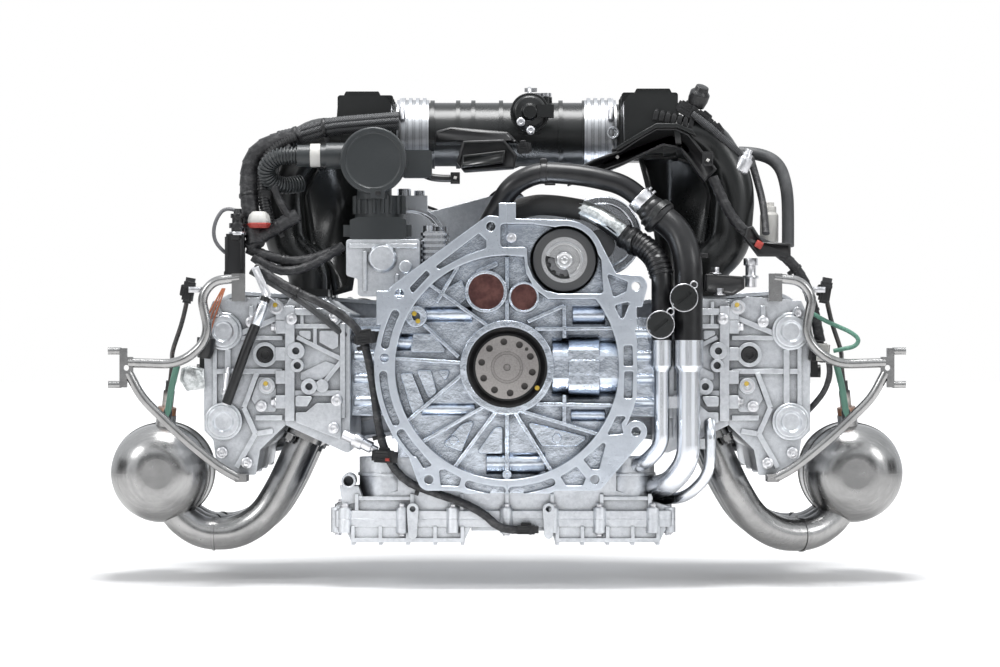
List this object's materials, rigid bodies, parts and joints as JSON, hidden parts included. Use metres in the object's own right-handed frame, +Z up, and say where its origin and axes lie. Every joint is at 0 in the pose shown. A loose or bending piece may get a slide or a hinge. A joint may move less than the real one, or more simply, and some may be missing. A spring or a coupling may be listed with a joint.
{
  "type": "flat six engine",
  "caption": "Horizontally opposed car engine with a round ribbed bell housing, curled exhaust headers and catalysts, black intake runners and belt-driven auxiliaries.",
  "frame": {"origin": "on the crankshaft's axis, in the plane of the gearbox flange", "axes": "+Y along the crankshaft from the gearbox flange to the belt drive, +Z up, +X to the right when looking at the gearbox flange"},
  "size_m": [1.117, 0.5626, 0.662],
  "materials": {
    "bright_casting": "satin, machined faces",
    "casting": "as cast",
    "aluminium": "satin",
    "stainless": "brushed",
    "steel": "machined",
    "forged_steel": "machined forging",
    "plug_brown": "primer",
    "black_plastic": "moulded",
    "rubber": "matte",
    "dark_metal": "satin"
  },
  "bodies": {
    "engine": {"crankcase_left": "bright_casting", "crankcase_right": "bright_casting", "main_seal": "rubber", "core_plugs": "plug_brown", "cylinder_head_left": "casting", "cylinder_head_right": "casting", "cam_cover_left": "casting", "cam_cover_right": "casting", "ignition_coils": "black_plastic", "timing_chain_left": "steel", "timing_chain_right": "steel", "timing_cover": "casting", "oil_sump_upper": "casting", "oil_sump_lower": "casting", "exhaust_header_left": "stainless", "exhaust_header_right": "stainless", "oxygen_sensors": "steel", "exhaust_hangers": "stainless", "starter_motor": "dark_metal", "coolant_pipes": "aluminium", "coolant_hose_large": "rubber", "coolant_hose_small": "rubber", "hose_fittings": "black_plastic", "oil_filter_base": "casting", "oil_separator": "black_plastic", "oil_cooler": "aluminium", "intake_manifold_left": "black_plastic", "intake_manifold_right": "black_plastic", "intake_crossover": "black_plastic", "crossover_sleeves": "aluminium", "throttle_body": "aluminium", "vacuum_actuator": "black_plastic", "control_box": "black_plastic", "accessory_bracket": "casting", "alternator": "aluminium", "ac_compressor": "aluminium", "drive_belt": "rubber"},
    "crankshaft": {"crankshaft": "forged_steel", "crank_pulley": "steel"},
    "starter_drive": {"starter_drive": "steel"},
    "starter_pinion": {"starter_pinion": "steel"},
    "throttle_flap": {"throttle_flap": "steel"},
    "resonance_flap": {"resonance_flap": "steel"},
    "vacuum_rod": {"vacuum_rod": "steel"},
    "alternator_rotor": {"alternator_pulley": "steel"},
    "compressor_rotor": {"compressor_pulley": "steel"},
    "water_pump_rotor": {"water_pump_pulley": "steel"},
    "idler_pulley": {"idler_pulley": "black_plastic"},
    "tensioner_arm": {"tensioner_arm": "casting"},
    "tensioner_pulley": {"tensioner_pulley": "black_plastic"},
    "intake_camshaft_left": {"intake_camshaft_left": "steel"},
    "exhaust_camshaft_left": {"exhaust_camshaft_left": "steel"},
    "intake_camshaft_right": {"intake_camshaft_right": "steel"},
    "exhaust_camshaft_right": {"exhaust_camshaft_right": "steel"},
    "piston_1": {"piston_1": "aluminium"},
    "piston_2": {"piston_2": "aluminium"},
    "piston_3": {"piston_3": "aluminium"},
    "piston_4": {"piston_4": "aluminium"},
    "piston_5": {"piston_5": "aluminium"},
    "piston_6": {"piston_6": "aluminium"}
  },
  "joints": [
    {"name": "crankshaft_spin", "type": "hinge", "parent": "engine", "child": "crankshaft", "pos_m": [0, 0.25, 0], "axis": [0, 1, 0], "continuous": true},
    {"name": "intake_camshaft_left_spin", "type": "hinge", "parent": "engine", "child": "intake_camshaft_left", "pos_m": [-0.39, 0.25, 0.049], "axis": [0, 1, 0], "continuous": true},
    {"name": "exhaust_camshaft_left_spin", "type": "hinge", "parent": "engine", "child": "exhaust_camshaft_left", "pos_m": [-0.39, 0.25, -0.075], "axis": [0, 1, 0], "continuous": true},
    {"name": "intake_camshaft_right_spin", "type": "hinge", "parent": "engine", "child": "intake_camshaft_right", "pos_m": [0.39, 0.25, 0.049], "axis": [0, 1, 0], "continuous": true},
    {"name": "exhaust_camshaft_right_spin", "type": "hinge", "parent": "engine", "child": "exhaust_camshaft_right", "pos_m": [0.39, 0.25, -0.075], "axis": [0, 1, 0], "continuous": true},
    {"name": "alternator_spin", "type": "hinge", "parent": "engine", "child": "alternator_rotor", "pos_m": [0.14, 0.532, 0.19], "axis": [0, 1, 0], "continuous": true},
    {"name": "compressor_spin", "type": "hinge", "parent": "engine", "child": "compressor_rotor", "pos_m": [-0.14, 0.532, 0.18], "axis": [0, 1, 0], "continuous": true},
    {"name": "water_pump_spin", "type": "hinge", "parent": "engine", "child": "water_pump_rotor", "pos_m": [-0.152, 0.532, -0.042], "axis": [0, 1, 0], "continuous": true},
    {"name": "idler_spin", "type": "hinge", "parent": "engine", "child": "idler_pulley", "pos_m": [0, 0.532, 0.232], "axis": [0, 1, 0], "continuous": true},
    {"name": "tensioner_swing", "type": "hinge", "parent": "engine", "child": "tensioner_arm", "pos_m": [-0.252, 0.52, 0.004], "axis": [0, 1, 0], "range_deg": [-20, 0], "stiffness_Nm_per_rad": 12, "springref_deg": 20.05},
    {"name": "tensioner_pulley_spin", "type": "hinge", "parent": "tensioner_arm", "child": "tensioner_pulley", "pos_m": [-0.216, 0.532, 0.066], "axis": [0, 1, 0], "continuous": true},
    {"name": "starter_drive_slide", "type": "slide", "parent": "engine", "child": "starter_drive", "axis": [0, -1, 0], "range_m": [0, 0.012], "stiffness_N_per_m": 500, "springref_m": -0.01},
    {"name": "starter_pinion_spin", "type": "hinge", "parent": "starter_drive", "child": "starter_pinion", "pos_m": [0.078, 0.045, 0.146], "axis": [0, 1, 0], "continuous": true},
    {"name": "throttle_turn", "type": "hinge", "parent": "engine", "child": "throttle_flap", "pos_m": [0, 0.433, 0.334], "axis": [1, 0, 0], "range_deg": [0, 80], "stiffness_Nm_per_rad": 0.5, "springref_deg": -17.19},
    {"name": "resonance_turn", "type": "hinge", "parent": "engine", "child": "resonance_flap", "pos_m": [0.057, 0.33, 0.334], "axis": [0, 0, 1], "range_deg": [0, 30], "stiffness_Nm_per_rad": 0.5, "springref_deg": -17.19},
    {"name": "vacuum_rod_slide", "type": "slide", "parent": "engine", "child": "vacuum_rod", "axis": [0, -1, 0], "range_m": [0, 0.0121]},
    {"name": "piston_1_slide", "type": "slide", "parent": "engine", "child": "piston_1", "axis": [1, 0, 0], "range_m": [-0.0775, 0]},
    {"name": "piston_2_slide", "type": "slide", "parent": "engine", "child": "piston_2", "axis": [-1, 0, 0], "range_m": [-0.0775, 0]},
    {"name": "piston_3_slide", "type": "slide", "parent": "engine", "child": "piston_3", "axis": [1, 0, 0], "range_m": [-0.01529, 0.06221]},
    {"name": "piston_4_slide", "type": "slide", "parent": "engine", "child": "piston_4", "axis": [-1, 0, 0], "range_m": [-0.01529, 0.06221]},
    {"name": "piston_5_slide", "type": "slide", "parent": "engine", "child": "piston_5", "axis": [1, 0, 0], "range_m": [-0.01529, 0.06221]},
    {"name": "piston_6_slide", "type": "slide", "parent": "engine", "child": "piston_6", "axis": [-1, 0, 0], "range_m": [-0.01529, 0.06221]}
  ],
  "couplings": [
    {"joint": "intake_camshaft_left_spin", "follows": "crankshaft_spin", "ratio": 0.5},
    {"joint": "exhaust_camshaft_left_spin", "follows": "crankshaft_spin", "ratio": 0.5},
    {"joint": "intake_camshaft_right_spin", "follows": "crankshaft_spin", "ratio": 0.5},
    {"joint": "exhaust_camshaft_right_spin", "follows": "crankshaft_spin", "ratio": 0.5},
    {"joint": "alternator_spin", "follows": "crankshaft_spin", "ratio": 2.6207},
    {"joint": "compressor_spin", "follows": "crankshaft_spin", "ratio": 1.3103},
    {"joint": "water_pump_spin", "follows": "crankshaft_spin", "ratio": 1.4615},
    {"joint": "idler_spin", "follows": "crankshaft_spin", "ratio": -2.303},
    {"joint": "tensioner_pulley_spin", "follows": "crankshaft_spin", "ratio": -2.303},
    {"joint": "vacuum_rod_slide", "follows": "resonance_turn", "m_per_rad": 0.022918}
  ]
}
